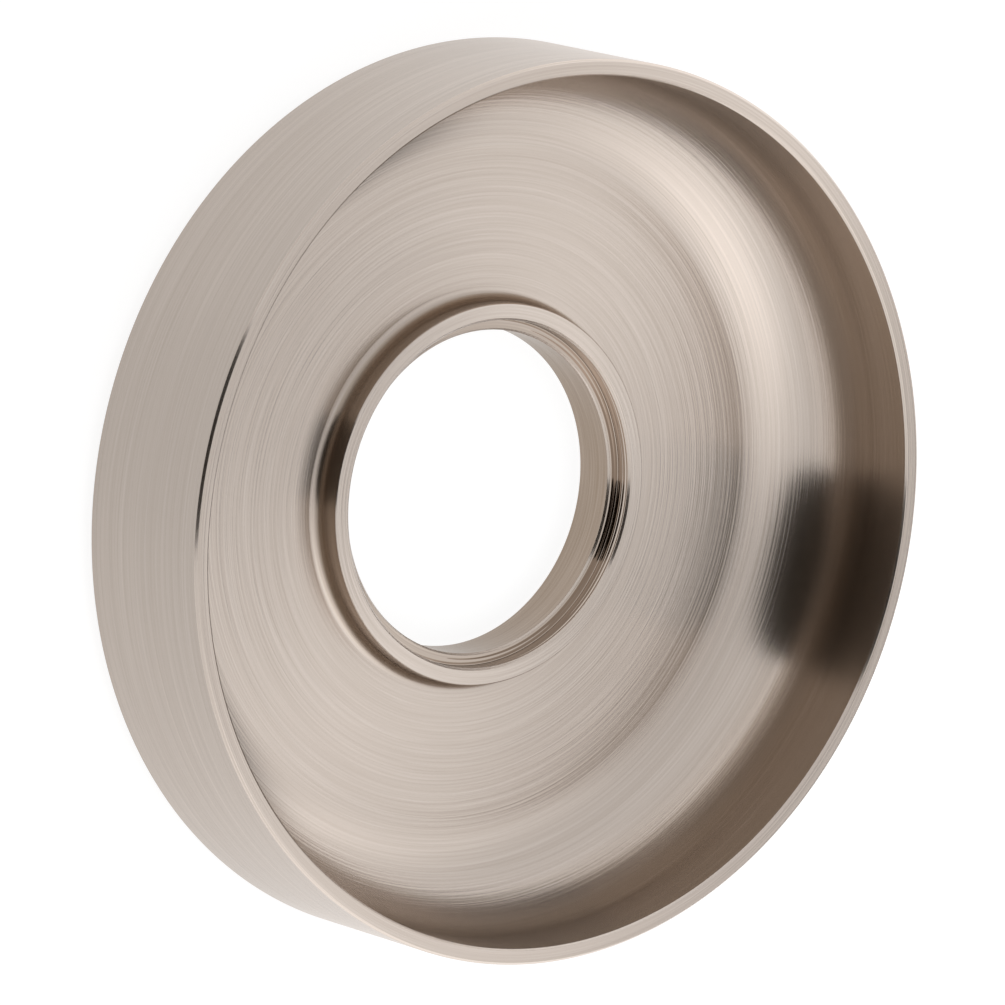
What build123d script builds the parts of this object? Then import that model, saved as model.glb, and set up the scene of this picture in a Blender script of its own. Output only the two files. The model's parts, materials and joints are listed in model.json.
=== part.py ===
from build123d import *
import os

# Trim shroud for a valve: one turned brass dish, seen into from its hollow side.
# A thin wall stands round a thick floor, a low hub rises in the middle of the floor,
# and a bore with a counterbore goes through the hub.
#
# Frame: millimetres, +Z up along the dish's axis and out of its hollow side.
# The origin is on the axis, in the plane of the flat ring that the dish lies on.

# Wall
outer_diameter = 88.9
wall_height = 17.1            # from the crowned face's edge up to the rim
wall_thickness = 1.6
rim_outer_break = 0.25        # chamfer leg between the wall and the rim
rim_inner_break = 0.2         # chamfer leg between the rim and the bowl
far_edge_break = 0.2          # chamfer leg where the wall meets the crowned face

# Bowl
bowl_depth = 14.9             # from the rim down to the floor
bowl_fillet = 9.5             # the large round between the floor and the wall

# Hole through the hub
bore_diameter = 32.1
bore_break = 0.2              # chamfer leg at both ends of the bore
shoulder_width = 1.2          # step between the bore and the counterbore
counterbore_depth = 1.75
counterbore_break = 0.23

# Hub in the middle of the bowl
hub_wall = 1.7                # metal round the counterbore
hub_rise = 2.85               # how far the hub stands above the floor
hub_fillet = 1.2              # round at the hub's foot
hub_edge_break = 0.1

# Hidden side
crown = 1.4                   # how far the face swells past the wall's edge
seat_width = 2.0              # flat ring round the bore, which the dish lies on

outer_radius = outer_diameter / 2
bowl_radius = outer_radius - wall_thickness
bore_radius = bore_diameter / 2
counterbore_radius = bore_radius + shoulder_width
hub_radius = counterbore_radius + hub_wall
seat_radius = bore_radius + bore_break + seat_width

rim_level = crown + wall_height
floor_level = rim_level - bowl_depth
hub_level = floor_level + hub_rise
shoulder_level = hub_level - counterbore_depth


def hole_corners():
    """Up the bore, out across the shoulder and up the counterbore, as (r, z)."""
    return [
        (bore_radius + bore_break, 0),
        (bore_radius, bore_break),
        (bore_radius, shoulder_level - bore_break),
        (bore_radius + bore_break, shoulder_level),
        (counterbore_radius, shoulder_level),
        (counterbore_radius, hub_level - counterbore_break),
        (counterbore_radius + counterbore_break, hub_level),
    ]


def hub_corners():
    """Across the hub's top and down its side to its foot, as (r, z)."""
    return [
        (hub_radius - hub_edge_break, hub_level),
        (hub_radius, hub_level - hub_edge_break),
        (hub_radius, floor_level),
    ]


def wall_corners():
    """From the bowl's outer corner up, over the rim and down the outside, as (r, z)."""
    return [
        (bowl_radius, floor_level),
        (bowl_radius, rim_level - rim_inner_break),
        (bowl_radius + rim_inner_break, rim_level),
        (outer_radius - rim_outer_break, rim_level),
        (outer_radius, rim_level - rim_outer_break),
        (outer_radius, crown + far_edge_break),
        (outer_radius - far_edge_break, crown),
    ]


def crown_radius(edge):
    """Radius of the circle, centred on the axis, through the face's edge and its flat ring."""
    centre_height = (edge.X**2 - seat_radius**2 + crown**2) / (2 * crown)
    return (seat_radius**2 + centre_height**2) ** 0.5


def section():
    """Half of the dish's section with sharp inner corners, closed by the crowned face."""
    with BuildSketch(Plane.XZ) as sketch:
        with BuildLine():
            seen = Polyline(*hole_corners(), *hub_corners(), *wall_corners())
            RadiusArc(seen @ 1, (seat_radius, 0), crown_radius(seen @ 1))
            Line((seat_radius, 0), seen @ 0)
        make_face()
    return sketch.sketch


def circle_edge(solid, radius, level):
    """The solid's edge that runs round the axis at this radius and height."""
    rings = solid.edges().filter_by(GeomType.CIRCLE).filter_by_position(Axis.Z, level, level)
    return rings.sort_by(lambda ring: abs(ring.radius - radius))[0]


def shroud():
    """The section turned once round the axis, with the bowl's two inner corners rounded."""
    with BuildPart() as part:
        add(revolve(section(), Axis.Z, 360))
        fillet(circle_edge(part, hub_radius, floor_level), hub_fillet)
        fillet(circle_edge(part, bowl_radius, floor_level), bowl_fillet)
    part.part.label = "shroud"
    part.part.color = Color(0.72, 0.66, 0.60)
    return part.part


os.makedirs("parts", exist_ok=True)
export_step(shroud(), "parts/shroud.step")
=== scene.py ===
# %% [markdown]
# # A brushed trim shroud, looked at from above
#
# The object is a turned metal dish with a nickel finish: a thin wall round a thick floor, a low
# hub in the middle and a stepped hole through the hub. It lies on its closed side, and the camera
# looks down into its hollow side.
#
# The CAD model gives the true section. What it can't give is how the metal looks: edges that are
# rounded by a few hundredths of a millimetre and catch a line of light, and the fine rings that a
# lathe and a polishing cloth leave. Here we turn the same section again on a finer grid, and then
# most of the work is in the metal's finish and in the light that it mirrors.

import json
import math

import bpy
import numpy as np
from bpy_extras.object_utils import world_to_camera_view
from mathutils import Matrix, Vector


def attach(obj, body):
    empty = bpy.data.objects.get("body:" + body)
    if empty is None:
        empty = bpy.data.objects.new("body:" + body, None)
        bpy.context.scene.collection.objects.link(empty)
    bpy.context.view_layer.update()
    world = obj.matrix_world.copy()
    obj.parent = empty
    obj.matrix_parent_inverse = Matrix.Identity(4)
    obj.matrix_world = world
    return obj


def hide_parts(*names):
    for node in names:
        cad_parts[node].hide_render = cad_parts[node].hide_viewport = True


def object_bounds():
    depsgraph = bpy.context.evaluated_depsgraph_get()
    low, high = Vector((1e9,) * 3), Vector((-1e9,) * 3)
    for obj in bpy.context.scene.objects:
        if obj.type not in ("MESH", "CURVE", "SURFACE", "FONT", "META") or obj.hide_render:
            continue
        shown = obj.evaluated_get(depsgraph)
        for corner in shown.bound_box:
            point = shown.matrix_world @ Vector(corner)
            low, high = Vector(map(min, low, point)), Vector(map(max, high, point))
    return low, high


MM = 0.001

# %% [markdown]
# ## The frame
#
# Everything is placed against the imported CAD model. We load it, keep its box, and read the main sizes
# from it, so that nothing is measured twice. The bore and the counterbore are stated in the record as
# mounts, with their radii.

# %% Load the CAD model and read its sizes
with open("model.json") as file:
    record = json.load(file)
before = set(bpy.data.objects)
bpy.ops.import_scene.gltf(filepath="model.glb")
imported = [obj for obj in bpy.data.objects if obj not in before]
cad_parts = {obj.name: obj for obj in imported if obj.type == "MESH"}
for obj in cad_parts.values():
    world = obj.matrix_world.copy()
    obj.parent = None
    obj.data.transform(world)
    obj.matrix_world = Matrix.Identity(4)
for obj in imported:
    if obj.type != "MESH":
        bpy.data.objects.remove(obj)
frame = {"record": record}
cad_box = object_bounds()
mounts = {m["name"]: m for m in frame["record"]["mounts"]}

outer_radius = (cad_box[1].x - cad_box[0].x) / 2 / MM
rim_level = cad_box[1].z / MM
bore_radius = mounts["bore"]["dims"]["r_mm"]
counterbore_radius = mounts["counterbore"]["dims"]["r_mm"]
print("outer radius", round(outer_radius, 3), "rim level", round(rim_level, 3))
print("bore radius", bore_radius, "counterbore radius", counterbore_radius)

# %% The other sizes of the section, in millimetres
wall_height = 17.1
wall_thickness = 1.6
bowl_depth = 14.9
bowl_fillet = 9.5
hub_diameter = 37.9
hub_rise = 2.85
hub_fillet = 1.2
counterbore_depth = 1.75
seat_width = 2.0       # the flat ring round the bore, on the hidden side

# how far each sharp edge is cut back
bore_break = 0.2
counterbore_break = 0.23
hub_break = 0.1
inner_rim_break = 0.2
outer_rim_break = 0.25
far_edge_break = 0.2
print("wall", wall_height, "high and", wall_thickness, "thick, bowl", bowl_depth, "deep, hub", hub_diameter)

# %% Radii and levels that follow from them
bowl_radius = outer_radius - wall_thickness
hub_radius = hub_diameter / 2
seat_radius = bore_radius + bore_break + seat_width
floor_level = rim_level - bowl_depth
hub_level = floor_level + hub_rise
shoulder_level = hub_level - counterbore_depth
crown = rim_level - wall_height
print("levels: crown", round(crown, 3), "floor", round(floor_level, 3), "hub", round(hub_level, 3))

# %% [markdown]
# ## The section as a pen line
#
# A turned part is one closed line, carried once round the axis. We could bevel a coarse mesh, but
# then each edge gets the same width. Instead a pen walks round the corners of the section and
# rounds each one by its own radius. Beside each point it notes the direction of the line, which
# gives the surface's exact normal, so that a mirror finish shows no facets.

# %% A corner rounded by an arc
def arc_at(before, corner, after, radius, steps):
    """The arc of this radius that touches both arms of a corner.

    It starts and ends radius * tan(turn / 2) away from the corner, where turn is the angle between
    the arms' directions. Returns its points and, beside them, the direction of the line there.
    """
    a = (corner - before) / np.linalg.norm(corner - before)
    b = (after - corner) / np.linalg.norm(after - corner)
    side = np.sign(a[0] * b[1] - a[1] * b[0])
    turn = np.arccos(np.clip(a @ b, -1, 1))
    start = corner - a * radius * np.tan(turn / 2)
    centre = start + side * radius * np.array([-a[1], a[0]])
    t = np.linspace(0, turn, steps)[:, None] * side
    spoke = start - centre
    points = centre + np.cos(t) * spoke + np.sin(t) * np.array([-spoke[1], spoke[0]])
    along = np.cos(t) * a + np.sin(t) * np.array([-a[1], a[0]])
    return points, along


square = np.array([[0.0, 0.0], [10.0, 0.0], [10.0, 10.0], [0.0, 10.0]])
rounded, _ = arc_at(*square[:3], 2.0, 5)
print("a square's corner at (10, 0), rounded by 2:", rounded[0].round(3), "to", rounded[-1].round(3))

# %% The whole line, with points along its straight stretches too
def pen_line(corners, radii, steps, spacing):
    """A closed line of rounded corners: arcs, joined by straight runs cut into equal lengths.

    Returns its points (n, 2), its directions (n, 2) and the distance run at each point (n,).
    """
    corners = np.asarray(corners, float)
    arcs = [
        arc_at(corners[i - 1], corners[i], corners[(i + 1) % len(corners)], radii[i], steps[i])
        for i in range(len(corners))
    ]
    points, along = [], []
    for (p, d), (q, _) in zip(arcs, arcs[1:] + arcs[:1]):
        run = q[0] - p[-1]
        cuts = max(int(np.linalg.norm(run) / spacing), 1)
        t = np.arange(1, cuts)[:, None] / cuts
        points += [p, p[-1] + t * run]
        along += [d, np.repeat(d[-1:], cuts - 1, axis=0)]
    points, along = np.vstack(points), np.vstack(along)
    ran = np.r_[0, np.cumsum(np.linalg.norm(np.diff(points, axis=0), axis=1))]
    return points, along, ran


line, _, ran = pen_line(square, [2.0] * 4, [9] * 4, spacing=1.0)
whole = ran[-1] + np.linalg.norm(line[0] - line[-1])
print("the square, rounded by 2:", round(whole, 2), "round; 4 * 6 + 2 pi * 2 =", round(24 + 4 * math.pi, 2))

# %% [markdown]
# ## The corners of this section
#
# Every sharp edge of a turned part is broken by a small chamfer, and a polished one is rounded a
# little more. The chamfers are two corners each, with a small radius at both, so that they read as
# a flat line of light with soft ends. The hidden face swells gently, which takes one more corner
# with a large radius.

# %% Corners from the bore's far end, up, over the hub, down the bowl, over the rim and back
def chamfer(r, z, leg, turn):
    """Two corners that cut a sharp one at (r, z). turn is (dr1, dz1, dr2, dz2), in legs."""
    return [(r + leg * turn[0], z + leg * turn[1]), (r + leg * turn[2], z + leg * turn[3])]


corners, radii, steps = [], [], []


def add(points, radius, count):
    """Adds corners that share one radius and one number of steps."""
    corners.extend(points)
    radii.extend([radius] * len(points))
    steps.extend([count] * len(points))


# where the two straight arms of the swell meet, before its large radius rounds them
crown_corner = ((seat_radius + outer_radius) / 2, crown * 0.3)

add(chamfer(bore_radius, 0, bore_break, (1, 0, 0, 1)), radius=0.05, count=3)
add(chamfer(bore_radius, shoulder_level, bore_break, (0, -1, 1, 0)), radius=0.05, count=4)
add([(counterbore_radius, shoulder_level)], radius=0.1, count=5)
add(chamfer(counterbore_radius, hub_level, counterbore_break, (0, -1, 1, 0)), radius=0.07, count=4)
add(chamfer(hub_radius, hub_level, hub_break, (-1, 0, 0, -1)), radius=0.04, count=3)
add([(hub_radius, floor_level)], radius=hub_fillet, count=10)
add([(bowl_radius, floor_level)], radius=bowl_fillet, count=30)
add(chamfer(bowl_radius, rim_level, inner_rim_break, (0, -1, 1, 0)), radius=0.12, count=5)
add(chamfer(outer_radius, rim_level, outer_rim_break, (-1, 0, 0, -1)), radius=0.09, count=4)
add(chamfer(outer_radius, crown, far_edge_break, (0, 1, -1, 0)), radius=0.06, count=3)
add([crown_corner], radius=60, count=12)
add([(seat_radius, 0)], radius=2.0, count=3)

line, along, ran = pen_line(corners, radii, steps, spacing=1.1)
print("section:", len(line), "points,", round(ran[-1], 1), "mm round")

# %% [markdown]
# ## Turning the section
#
# The surface is a function of two numbers: how far along the line, and how far round the axis. A
# Screw modifier would turn it too, but it gives neither exact normals nor coordinates that run
# with the turning marks. So the grid is worked out as whole arrays.

# %% The grid of points, normals and faces
ROUND = 480            # points round the axis


def turned(line, along, count):
    """Carries a line (r, z) round the axis: x = r cos(a), y = r sin(a), z = z.

    The normal is the line's direction turned by a quarter, carried round in the same way.
    """
    a = np.arange(count) * 2 * np.pi / count
    ring = np.stack([np.cos(a), np.sin(a)], axis=1)

    def carry(r, z):
        flat = r[:, None, None] * ring[None]
        return np.concatenate([flat, np.broadcast_to(z[:, None, None], flat.shape[:2] + (1,))], axis=2)

    return carry(line[:, 0], line[:, 1]), carry(-along[:, 1], along[:, 0])


def grid_faces(rows, columns):
    """Quads of a grid that closes on itself both ways, wound so that they face outwards."""
    j, i = np.meshgrid(np.arange(rows), np.arange(columns), indexing="ij")
    j2, i2 = (j + 1) % rows, (i + 1) % columns
    at = lambda row, column: row * columns + column
    return np.stack([at(j, i), at(j2, i), at(j2, i2), at(j, i2)], axis=2).reshape(-1, 4)


points, normals = turned(line * MM, along, ROUND)
faces = grid_faces(len(line), ROUND)
print("grid:", points.shape[:2], "->", 2 * len(faces), "triangles")

# %% A mesh from the arrays, with its normals and its UV map
def make_mesh(name, points, normals, faces):
    """A mesh of quads with its own normals."""
    mesh = bpy.data.meshes.new(name)
    mesh.vertices.add(points.size // 3)
    mesh.vertices.foreach_set("co", points.reshape(-1))
    mesh.loops.add(faces.size)
    mesh.loops.foreach_set("vertex_index", faces.reshape(-1).astype(np.int32))
    mesh.polygons.add(len(faces))
    mesh.polygons.foreach_set("loop_start", np.arange(0, faces.size, 4, dtype=np.int32))
    mesh.update(calc_edges=True)
    mesh.validate()
    mesh.shade_smooth()
    mesh.normals_split_custom_set_from_vertices(normals.reshape(-1, 3))
    return mesh


def add_uv(mesh, faces, rows, columns, share):
    """U runs along the section by its share of the length, V once round; both close with a 1."""
    row, column = faces // columns, faces % columns
    u, v = share[row], column / columns
    u[:, 1:3] = np.r_[share[1:], 1.0][row[:, :1]]
    v[:, 2:] = (column[:, :1] + 1) / columns
    uv = mesh.uv_layers.new(name="turned")
    uv.data.foreach_set("uv", np.stack([u, v], axis=2).reshape(-1))


shroud_mesh = make_mesh("shroud_metal", points, normals, faces)
length = ran[-1] + np.linalg.norm(line[0] - line[-1])
add_uv(shroud_mesh, faces, len(line), ROUND, ran / length)
print("mesh:", len(shroud_mesh.vertices), "points,", len(shroud_mesh.polygons), "quads")

# %% [markdown]
# ## What the metal has to know about its place
#
# Four numbers go with each point, for the material to read. The distance along the section says
# where the rings of marks lie, on a floor as on a wall. The second is 1 in the counterbore, which
# has a finish of its own. The third is painted shade: it darkens and browns the metal's colour up
# the steep wall, at the foot of the hub and in the bore, where shade falls, half as much in the
# counterbore and a little everywhere else. The fourth makes the marks shallower up the steep wall,
# at the foot of the hub, on the floor beside it, in the bore and most of all in the counterbore. We
# could paint all this as weights by hand, but the section's own radii and levels say it exactly.

# %% Regions of the section
NEAR = 0.01            # points this near to an edge still belong to it
HUB_EDGES = 0.25       # the hub's broken edges reach down this far
r, z = line.T
in_bowl = (r > bowl_radius - bowl_fillet) & (r < bowl_radius + NEAR) & (z > floor_level - NEAR)
in_bore = (r < bore_radius + NEAR) & (z < shoulder_level)
in_counterbore = (r < counterbore_radius + NEAR) & (z > shoulder_level - NEAR)
on_floor = (np.abs(z - floor_level) < NEAR) & (r > hub_radius)
on_hub = (z > hub_level - HUB_EDGES) & (z < hub_level + NEAR) & (r < hub_radius - 2 * NEAR)
at_hub = (r > hub_radius - NEAR) & (r < hub_radius + hub_fillet)
at_hub &= (z > floor_level - NEAR) & (z < hub_level + NEAR)
print("points in the bowl, bore, counterbore:", in_bowl.sum(), in_bore.sum(), in_counterbore.sum())

# %% How much shade is painted on the metal, and how deep its marks are
def rise(value, low, high):
    """0 below low, 1 above high, and 3t^2 - 2t^3 between them."""
    t = np.clip((value - low) / (high - low), 0, 1)
    return t * t * (3 - 2 * t)


# painted shade: 0 is none, 1 is the full dark brown, and the last number holds everywhere else
on_wall = 0.1 + 0.9 * rise(z, floor_level + 2.2, floor_level + 8)
hub_foot_shade = 1 - 0.9 * rise(r, hub_radius + 0.1, hub_radius + 1.0)
shade_share = np.select(
    [in_bowl, in_bore, in_counterbore, on_hub, at_hub],
    [on_wall, 1.0, 0.5, 0.0, hub_foot_shade],
    0.1,
)
# mark_depth: 1 is the full depth, which the open floor has
beside_hub = 0.4 + 0.6 * rise(r, hub_radius + 1.2, hub_radius + 5)
mark_depth = np.select(
    [in_bowl, at_hub, in_bore, in_counterbore, on_floor],
    [1 - 0.6 * on_wall, 0.4, 0.5, 0.05, beside_hub],
    1.0,
)
print("dull from", shade_share.min(), "to", shade_share.max(), "| mark depth from", mark_depth.min())

# %% The numbers go on the mesh, and the mesh takes the CAD node's place
def add_attribute(mesh, name, values):
    """One number a point."""
    layer = mesh.attributes.new(name, "FLOAT", "POINT")
    layer.data.foreach_set("value", np.repeat(values, ROUND).astype(np.float32))


add_attribute(shroud_mesh, "section_mm", ran)
add_attribute(shroud_mesh, "counterbore", in_counterbore.astype(float))
# painted shade: a weight that darkens and browns the metal's colour
add_attribute(shroud_mesh, "painted_shade", shade_share)
add_attribute(shroud_mesh, "mark_depth", mark_depth)

shroud = bpy.data.objects.new("shroud_metal", shroud_mesh)
bpy.context.scene.collection.objects.link(shroud)
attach(shroud, "root")
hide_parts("shroud")
print("attributes:", [a.name for a in shroud_mesh.attributes if a.domain == "POINT"])

# %% [markdown]
# ## The metal
#
# Brushed nickel mirrors sharply along its marks and softly across them. Blender's Principled
# shader has this as Anisotropic: it stretches the gloss along the tangent. Our tangent comes from
# the UV map, whose U runs along the section, so the stretch goes across the rings.

# %% Small helpers for node trees
class Nodes:
    """A node tree, with a short way to add and link nodes."""

    def __init__(self, tree):
        self.tree = tree
        tree.nodes.clear()

    def add(self, kind, settings=None, **inputs):
        """Adds a node. An input is given by name as a value or as a socket to link."""
        node = self.tree.nodes.new(kind)
        for name, value in (settings or {}).items():
            setattr(node, name, value)
        for name, value in inputs.items():
            self.put(node, name.replace("_", " "), value)
        return node

    def put(self, node, name, value):
        """Sets or links one input, by its name or its number."""
        socket = node.inputs[int(name) if name.isdigit() else name]
        if isinstance(value, bpy.types.NodeSocket):
            self.tree.links.new(value, socket)
        else:
            socket.default_value = value

    def math(self, operation, a, b=0.0):
        """One Math node."""
        node = self.add("ShaderNodeMath", {"operation": operation})
        self.put(node, "0", a)
        self.put(node, "1", b)
        return node.outputs[0]

    def vector(self, operation, a, b=None):
        """One Vector Math node."""
        node = self.add("ShaderNodeVectorMath", {"operation": operation})
        self.put(node, "0", a)
        if b is not None:
            self.put(node, "1", b)
        return node.outputs["Value" if operation == "DOT_PRODUCT" else 0]

    def parts(self, vector):
        """The X, Y and Z of a vector, by name."""
        node = self.add("ShaderNodeSeparateXYZ")
        self.put(node, "0", vector)
        return node.outputs

    def attribute(self, name):
        """One of the mesh's own numbers."""
        return self.add("ShaderNodeAttribute", {"attribute_name": name}).outputs["Fac"]

    def blend(self, share, first, second):
        """The first colour where share is 0 and the second where it is 1.

        The inputs go by number, because a Mix node has several that are called A and B.
        """
        node = self.add("ShaderNodeMix", {"data_type": "RGBA"})
        for place, value in (("0", share), ("6", first), ("7", second)):
            self.put(node, place, value)
        return node.outputs[2]


def new_material(name):
    """An empty material and its nodes."""
    material = bpy.data.materials.new(name)
    material.use_nodes = True
    return material, Nodes(material.node_tree)


# %% [markdown]
# ## Marks of several sizes
#
# A lathe and a brush leave arcs: long round the axis, very narrow across. A noise gives them if its
# coordinates are squeezed the same way. We feed it the distance along the section, multiplied up,
# and a small circle that stands for the way round, so that the pattern closes without a seam. Read
# on x and y alone, the marks would smear out down the walls.

# %% Coordinates that run with the turning marks
def ring_coordinates(n, across, round_):
    """A point for a noise: the section's distance times across, and a circle of radius round_.

    Marks come out as long arcs when across is large and round_ is small.
    """
    where = n.add("ShaderNodeTexCoord").outputs["Object"]
    unit = n.parts(n.vector("NORMALIZE", n.vector("MULTIPLY", where, (1.0, 1.0, 0.0))))
    point = n.add("ShaderNodeCombineXYZ")
    n.put(point, "X", n.math("MULTIPLY", unit["X"], round_))
    n.put(point, "Y", n.math("MULTIPLY", unit["Y"], round_))
    n.put(point, "Z", n.math("MULTIPLY", n.attribute("section_mm"), across))
    return point.outputs[0]


def noise(n, vector, detail, roughness):
    """A noise value between 0 and 1."""
    node = n.add("ShaderNodeTexNoise", Vector=vector, Scale=1.0, Detail=detail, Roughness=roughness)
    return node.outputs["Fac"]


def spread(n, value, low, high):
    """Maps the middle of a noise, 0.3 to 0.7, to low and high."""
    node = n.add("ShaderNodeMapRange")
    n.put(node, "Value", value)
    n.put(node, "From Min", 0.3)
    n.put(node, "From Max", 0.7)
    n.put(node, "To Min", low)
    n.put(node, "To Max", high)
    return node.outputs[0]


# %% Hairlines and the tool's rings
RINGS = 2.2            # tool rings to the millimetre, in the counterbore


def hairlines(n, across, round_, edge):
    """1 on a few thin arcs and 0 elsewhere: only a noise's highest ridges pass the edge."""
    node = n.add("ShaderNodeMapRange", {"interpolation_type": "SMOOTHSTEP"})
    n.put(node, "Value", noise(n, ring_coordinates(n, across, round_), 1.0, 0.5))
    n.put(node, "From Min", edge)
    n.put(node, "From Max", edge + 0.06)
    return node.outputs[0]


def tool_rings(n):
    """Rings left by the tool: 0.4 times the sine of 2 pi RINGS times the distance along the section."""
    turns = n.math("MULTIPLY", n.attribute("section_mm"), 2 * math.pi * RINGS)
    return n.math("MULTIPLY", n.math("SINE", turns), 0.4)


# %% [markdown]
# ## The finish
#
# The marks work in three ways. As a bump they tilt the surface and give the sparkle across a
# highlight. As colour they keep a streak visible where the light is even. As roughness, in broad
# bands, they let one ring mirror a little more sharply than its neighbour. The counterbore looks as
# if a fine tool cut it and no brush reached it, so it is nearly a mirror, with the tool's own rings.

# %% The brushed nickel
NICKEL = (0.63, 0.553, 0.495, 1)
BRIGHT_NICKEL = (0.725, 0.642, 0.582, 1)
BROAD_STREAK = (0.58, 0.50, 0.435, 1)
FRESH_SCRATCH = (0.8, 0.74, 0.68, 1)
# painted shade: the dark brown that the metal's colour is blended towards in its recesses
PAINTED_SHADE_BROWN = (0.315, 0.245, 0.187, 1)
MARK_HEIGHT = 0.028 * MM

# each kind of mark: noise units to the millimetre across, and the circle's radius round the axis
FINE_MARKS = (4.6, 1.1)
BROAD_MARKS = (1.5, 0.9)
BANDS = (0.45, 0.4)
SCRATCHES = (6.0, 2.5)


def brushed_nickel():
    """Warm nickel whose marks run round the axis, with shade painted into its colour in the recesses."""
    material, n = new_material("brushed_nickel")
    fine = noise(n, ring_coordinates(n, *FINE_MARKS), 2.0, 0.65)
    broad = noise(n, ring_coordinates(n, *BROAD_MARKS), 3.0, 0.6)
    bands = noise(n, ring_coordinates(n, *BANDS), 2.0, 0.5)
    scratches = hairlines(n, *SCRATCHES, edge=0.66)
    smooth = n.attribute("counterbore")

    surface = n.math("ADD", fine, n.math("MULTIPLY", broad, 0.42))
    surface = n.math("SUBTRACT", surface, n.math("MULTIPLY", scratches, 0.06))
    surface = n.math("MULTIPLY", surface, n.attribute("mark_depth"))
    surface = n.math("ADD", surface, n.math("MULTIPLY", tool_rings(n), smooth))
    tilted = n.add("ShaderNodeBump", Strength=1.0, Distance=MARK_HEIGHT, Height=surface)

    metal = n.blend(spread(n, fine, 0.0, 1.0), NICKEL, BRIGHT_NICKEL)
    metal = n.blend(spread(n, broad, 0.0, 0.35), metal, BROAD_STREAK)
    metal = n.blend(n.math("MULTIPLY", scratches, 0.15), metal, FRESH_SCRATCH)
    # painted shade: the colour is darkened towards brown up the steep wall, at the hub's foot and in the
    # bore
    painted_shade = n.math("MULTIPLY", n.attribute("painted_shade"), spread(n, fine, 1.0, 0.8))
    metal = n.blend(painted_shade, metal, PAINTED_SHADE_BROWN)

    rough = spread(n, bands, 0.215, 0.24)
    rough = n.math("SUBTRACT", rough, n.math("MULTIPLY", smooth, 0.2))
    tangent = n.add("ShaderNodeTangent", {"direction_type": "UV_MAP", "uv_map": "turned"})
    shader = n.add("ShaderNodeBsdfPrincipled", Metallic=1.0, Anisotropic=0.92)
    n.put(shader, "Base Color", metal)
    n.put(shader, "Roughness", rough)
    n.put(shader, "Normal", tilted.outputs[0])
    n.put(shader, "Tangent", tangent.outputs[0])
    out = n.add("ShaderNodeOutputMaterial")
    n.put(out, "Surface", shader.outputs[0])
    return material


nickel = brushed_nickel()
shroud_mesh.materials.append(nickel)
print("nickel:", len(nickel.node_tree.nodes), "nodes")

# %% [markdown]
# ## The camera
#
# The photograph was taken with a long lens from about one metre away, with the camera turned on
# its side. Circles fitted to the rim, the hub and the bore gave the angle between the line of
# sight and the shroud's axis, the roll, and where the rim's centre is seen. They leave the distance
# loose, and 22 outer radii is where the outer wall comes out as a true cylinder. We build the
# camera's axes from the angles, because Track To can't turn a camera on its side.

# %% Place and aim the camera
IMAGE = 1005.0         # the render's width and height in pixels
focal_pixels = 10097.0   # the lens's focal length in the same pixels
off_axis = math.radians(39.624)
roll = math.radians(14.581)
distance = 22 * outer_radius * MM
rim_centre = Vector((0, 0, rim_level * MM))
# the rim's centre, in pixels right of and below the image's middle
centre_right = 64.42
centre_down = 12.21

away = Vector((0, -math.sin(off_axis), math.cos(off_axis)))
side = Vector((0, math.cos(off_axis), math.sin(off_axis)))
over = Vector((-1, 0, 0))
right = math.cos(roll) * side + math.sin(roll) * over
up = -math.sin(roll) * side + math.cos(roll) * over
turn = Matrix((right, up, away))
pitch = Matrix.Rotation(-math.atan(centre_down / focal_pixels), 3, "X")
yaw = Matrix.Rotation(-math.atan(centre_right / focal_pixels), 3, "Y")
aimed = (pitch @ yaw @ turn).transposed().to_4x4()

camera = bpy.data.objects.new("camera", bpy.data.cameras.new("camera"))
bpy.context.scene.collection.objects.link(camera)
camera.matrix_world = Matrix.Translation(rim_centre + away * distance) @ aimed
camera.data.sensor_width = 36
camera.data.lens = focal_pixels / IMAGE * camera.data.sensor_width
camera.data.clip_start = 0.05
camera.data.clip_end = 20
bpy.context.scene.camera = camera
print("camera:", round(distance, 3), "m away, lens", round(camera.data.lens, 1), "mm")

# %% [markdown]
# ## The light
# Shade painted into the metal's colour makes those patches darker still on the steep wall, at the hub's
# foot and in the counterbore.
#
# A mirror finish shows what is round it more than what shines on it. To judge by its reflections,
# the photograph was taken in a white tent that isn't equally bright all over. Its cloth opens
# towards the camera, and is dimmer on the far side. The dark patches on the bowl's far wall, at the
# hub's foot and in the counterbore are that opening, mirrored.
#
# Lamps would show their hard outlines in the metal. So the tent is the world itself: one plain
# level, a few soft lobes, a brighter ring low down, and two gaps with soft edges. Each is a small
# function of the direction that a ray leaves in. Every spot of the bowl mirrors one direction, so
# how bright the spots are told how bright the tent is there. The plain level and the first two
# lobes were fitted to that and then adjusted, and the rest was found by trying.

# %% Where the tent is brighter or dimmer
TENT_LEVEL = 0.76
# each soft lobe: degrees round from the camera, degrees up, width in radians, level added
LOBES = [
    ("lamp over the table", 109, 57, 0.33, 0.76),
    ("the table under it", 115, 27, 0.30, 0.17),
    ("lit far corner", -160, 34, 0.24, 0.50),
    ("dimmer top of the tent", 180, 84, 0.22, -0.20),
]
# a brighter ring low on the cloth: level added, its middle and its half width as sines of the height
RING = (0.70, 0.09, 0.20)


def lobe(n, where, round_, up, width, level):
    """level * exp((cosine of the angle to the lobe's middle - 1) / width^2)."""
    a, e = math.radians(round_), math.radians(up)
    middle = (math.cos(e) * math.sin(a), -math.cos(e) * math.cos(a), math.sin(e))
    short_of_one = n.math("SUBTRACT", n.vector("DOT_PRODUCT", where, middle), 1.0)
    power = n.math("DIVIDE", short_of_one, width * width)
    return n.math("MULTIPLY", n.math("EXPONENT", power), level)


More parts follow.
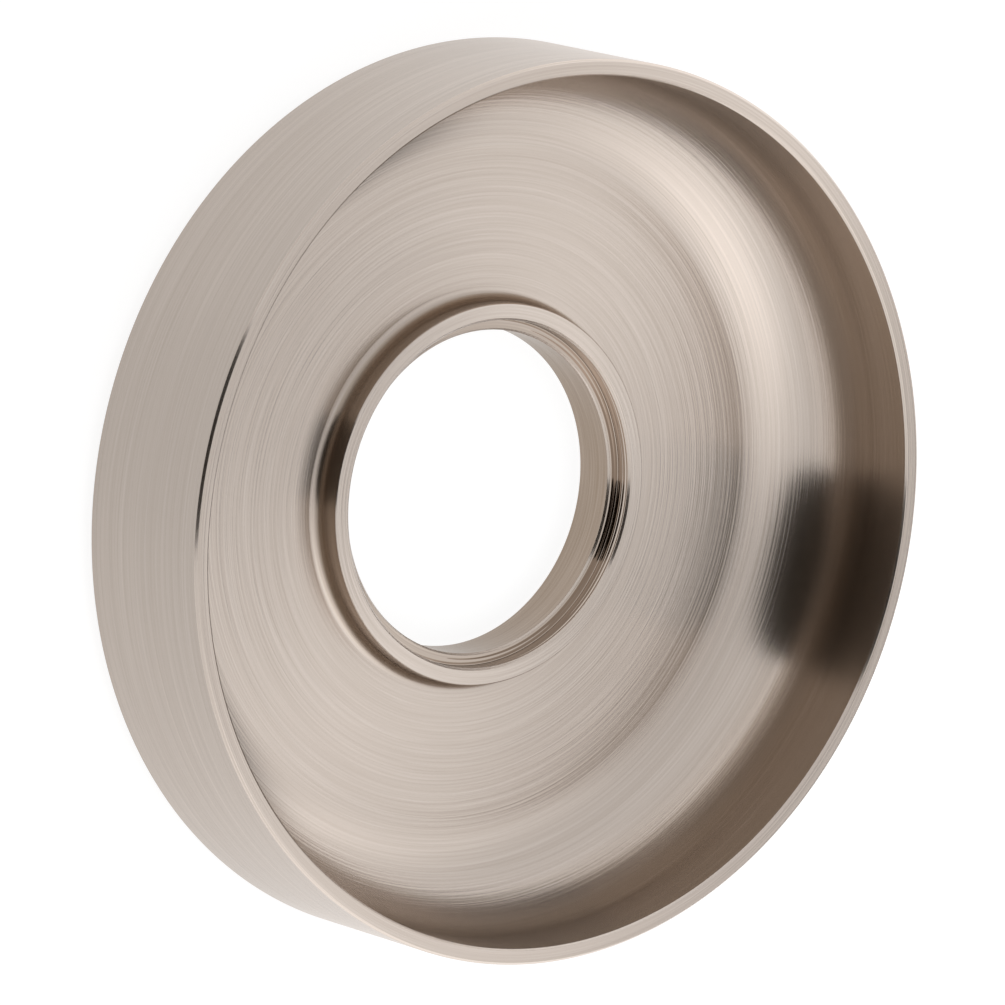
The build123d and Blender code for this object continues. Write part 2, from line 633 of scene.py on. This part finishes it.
def ring(n, where, level, middle, half_width):
    """level * exp(-((height - middle) / half_width)^2), with the height as a sine."""
    off = n.math("DIVIDE", n.math("SUBTRACT", n.parts(where)["Z"], middle), half_width)
    fall = n.math("EXPONENT", n.math("MULTIPLY", n.math("POWER", off, 2.0), -1.0))
    return n.math("MULTIPLY", fall, level)


print("tent:", TENT_LEVEL, "and", len(LOBES), "lobes:", ", ".join(name for name, *_ in LOBES))

# %% [markdown]
# ## The gaps in the light
#
# A black plane in front of the camera would do for the opening, but its edge would be equally
# sharp in every mirrored patch, and it would take light from the floor. An ellipse in the world
# has an edge as soft as we like: sharp for the opening, very soft for the dim cloth behind.

# %% The gaps
# each gap: which way it faces along y, its middle and half width sideways as sines, its middle and
# half height in degrees, and how soft its edge is
CAMERA_GAP = (-1.0, 0.04, 0.37, 8, 65, 0.04)
FAR_GAP = (1.0, 0.0, 0.46, 8, 32, 0.25)
GAP_COLOUR = (0.012, 0.009, 0.005, 1)


def outside(n, where, facing, middle, half_width, level, half_height, soft):
    """0 inside an ellipse drawn on the tent and 1 outside it, with a soft edge.

    With s the sine sideways and h the angle up from the horizon, the edge lies where
    ((s - middle) / half_width)^2 + ((h - level) / half_height)^2 = 1.
    """
    parts = n.parts(where)
    sideways = n.math("DIVIDE", n.math("SUBTRACT", parts["X"], middle), half_width)
    angle = n.math("ARCTAN2", parts["Z"], n.math("MULTIPLY", parts["Y"], facing))
    above = n.math("SUBTRACT", angle, math.radians(level))
    upward = n.math("DIVIDE", above, math.radians(half_height))
    squares = n.math("ADD", n.math("POWER", sideways, 2.0), n.math("POWER", upward, 2.0))
    edge = n.add("ShaderNodeMapRange", {"interpolation_type": "SMOOTHSTEP"})
    n.put(edge, "Value", n.math("SQRT", squares))
    n.put(edge, "From Min", 1 - soft)
    n.put(edge, "From Max", 1 + soft)
    return edge.outputs[0]


# %% The tent as a world
WHITE = (1, 1, 1, 1)


def tent():
    """A white tent, brighter and dimmer in places, with two dark gaps. The camera itself sees white."""
    world = bpy.data.worlds.new("tent")
    world.use_nodes = True
    n = Nodes(world.node_tree)
    where = n.add("ShaderNodeTexCoord").outputs["Generated"]
    level = TENT_LEVEL
    for _, *shape in LOBES:
        level = n.math("ADD", level, lobe(n, where, *shape))
    level = n.math("ADD", level, ring(n, where, *RING))
    lit = n.add("ShaderNodeCombineXYZ")
    for axis in "XYZ":
        n.put(lit, axis, level)
    cloth = n.math("MULTIPLY", outside(n, where, *CAMERA_GAP), outside(n, where, *FAR_GAP))
    colour = n.blend(cloth, GAP_COLOUR, lit.outputs[0])
    path = n.add("ShaderNodeLightPath")
    colour = n.blend(path.outputs["Is Camera Ray"], colour, WHITE)
    background = n.add("ShaderNodeBackground", Color=colour, Strength=1.0)
    out = n.add("ShaderNodeOutputWorld")
    n.put(out, "Surface", background.outputs[0])
    return world


bpy.context.scene.world = tent()
print("world:", len(bpy.context.scene.world.node_tree.nodes), "nodes")

# %% [markdown]
# ## The floor
#
# The photograph's ground is pure white, with the faintest shadow. A floor that is only lit would
# need more light than the metal can take. So a little of it is lit, which gives the shadow, and
# the rest glows to the camera. It glows to mirrored rays too, or the outer wall, which mirrors
# nothing but the floor, would be too dark. There it is dimmer on the camera's side, as the tent is.

# %% A white floor that still takes a shadow
FLOOR_COLOUR = (0.3, 0.3, 0.3, 1)
CAMERA_GLOW = 0.84
# in the metal, the glow under the shroud's middle, and what it gains in each metre away from the camera
MIRRORED_GLOW = 0.79
MIRRORED_SLOPE = 0.26 / 0.05
MIRRORED_LEAST = 0.5
MIRRORED_MOST = 1.15
HALF_FLOOR = 3.0
BELOW = 0.02 * MM      # keeps the floor just clear of the metal


def white_floor():
    """A little of it is lit, and the rest glows, to the camera and in the metal."""
    material, n = new_material("white_floor")
    path = n.add("ShaderNodeLightPath").outputs
    parts = n.parts(n.add("ShaderNodeTexCoord").outputs["Object"])
    mirrored = n.math("ADD", n.math("MULTIPLY", parts["Y"], MIRRORED_SLOPE), MIRRORED_GLOW)
    mirrored = n.math("MINIMUM", n.math("MAXIMUM", mirrored, MIRRORED_LEAST), MIRRORED_MOST)
    mirrored = n.math("MULTIPLY", mirrored, path["Is Glossy Ray"])
    glow = n.math("ADD", n.math("MULTIPLY", path["Is Camera Ray"], CAMERA_GLOW), mirrored)
    shader = n.add("ShaderNodeBsdfPrincipled", Roughness=0.9)
    n.put(shader, "Base Color", FLOOR_COLOUR)
    n.put(shader, "Specular IOR Level", 0.0)
    n.put(shader, "Emission Color", WHITE)
    n.put(shader, "Emission Strength", glow)
    out = n.add("ShaderNodeOutputMaterial")
    n.put(out, "Surface", shader.outputs[0])
    return material


floor_corners = np.array([(-1, -1, 0), (1, -1, 0), (1, 1, 0), (-1, 1, 0)]) * HALF_FLOOR
floor_mesh = bpy.data.meshes.new("floor")
floor_mesh.from_pydata(floor_corners.tolist(), [], [(0, 1, 2, 3)])
floor_mesh.materials.append(white_floor())
floor = bpy.data.objects.new("floor", floor_mesh)
floor.location.z = -BELOW
bpy.context.scene.collection.objects.link(floor)
bpy.context.scene.view_settings.view_transform = "Standard"
print("floor:", 2 * HALF_FLOOR, "m square")

# %% [markdown]
# ## The camera's aim
#
# The camera's aim is shown by where it sees the rim's centre, in pixels.

# %% Where the camera sees the rim's centre
scene = bpy.context.scene
bpy.context.view_layer.update()
wide, high = scene.render.resolution_x, scene.render.resolution_y
scene.render.resolution_x = scene.render.resolution_y = int(IMAGE)
seen = world_to_camera_view(scene, camera, rim_centre)
scene.render.resolution_x, scene.render.resolution_y = wide, high
print("rim centre at pixel", round(seen.x * IMAGE, 2), round((1 - seen.y) * IMAGE, 2))
